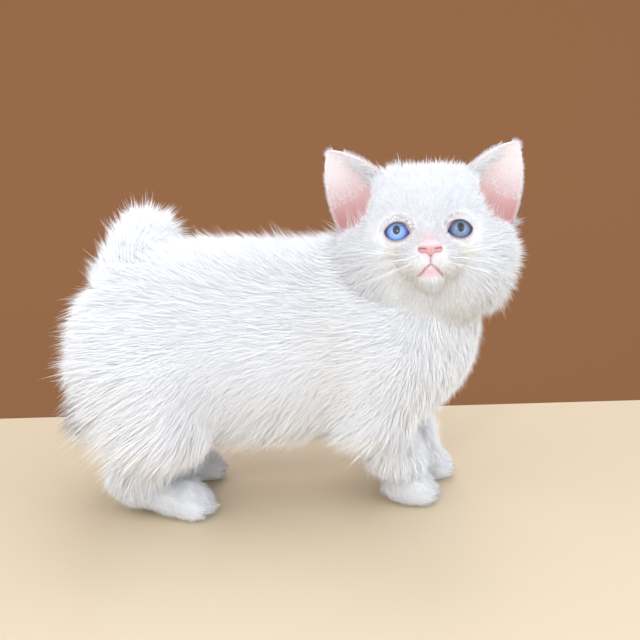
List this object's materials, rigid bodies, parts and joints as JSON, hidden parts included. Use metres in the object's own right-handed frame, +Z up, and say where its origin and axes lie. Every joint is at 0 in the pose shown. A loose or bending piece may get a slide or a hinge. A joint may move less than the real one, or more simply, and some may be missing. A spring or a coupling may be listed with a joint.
{
  "type": "kitten model",
  "caption": "Life-size still model of a white, short-legged kitten with a fluffy coat, standing with its head turned to its right and its tail arched over its far hip.",
  "frame": {"origin": "on the floor, under the middle of the whole model's box", "axes": "+X the way the body points, +Y to the kitten's own left, +Z up"},
  "size_m": [0.2042, 0.135, 0.1604],
  "materials": {
    "white_fur": "long soft white fur, faintly cream on the muzzle and cheeks",
    "ear": "short white down over thin pink skin",
    "nose_leather": "bare pink nose leather, slightly damp",
    "eye": "wet, sky-blue iris with a dark upright pupil"
  },
  "bodies": {
    "root": {"upper_arm_right": "white_fur", "thigh_right": "white_fur", "upper_arm_left": "white_fur", "thigh_left": "white_fur", "forearm_right": "white_fur", "front_paw_right": "white_fur", "shank_right": "white_fur", "hind_paw_right": "white_fur", "forearm_left": "white_fur", "front_paw_left": "white_fur", "shank_left": "white_fur", "hind_paw_left": "white_fur", "neck": "white_fur", "chest": "white_fur", "waist": "white_fur", "rump": "white_fur", "tail_root": "white_fur", "tail_middle": "white_fur", "tail_end": "white_fur", "head": "white_fur", "nose": "nose_leather", "eye_right": "eye", "eye_left": "eye", "ear_right": "ear", "ear_left": "ear"}
  },
  "joints": []
}
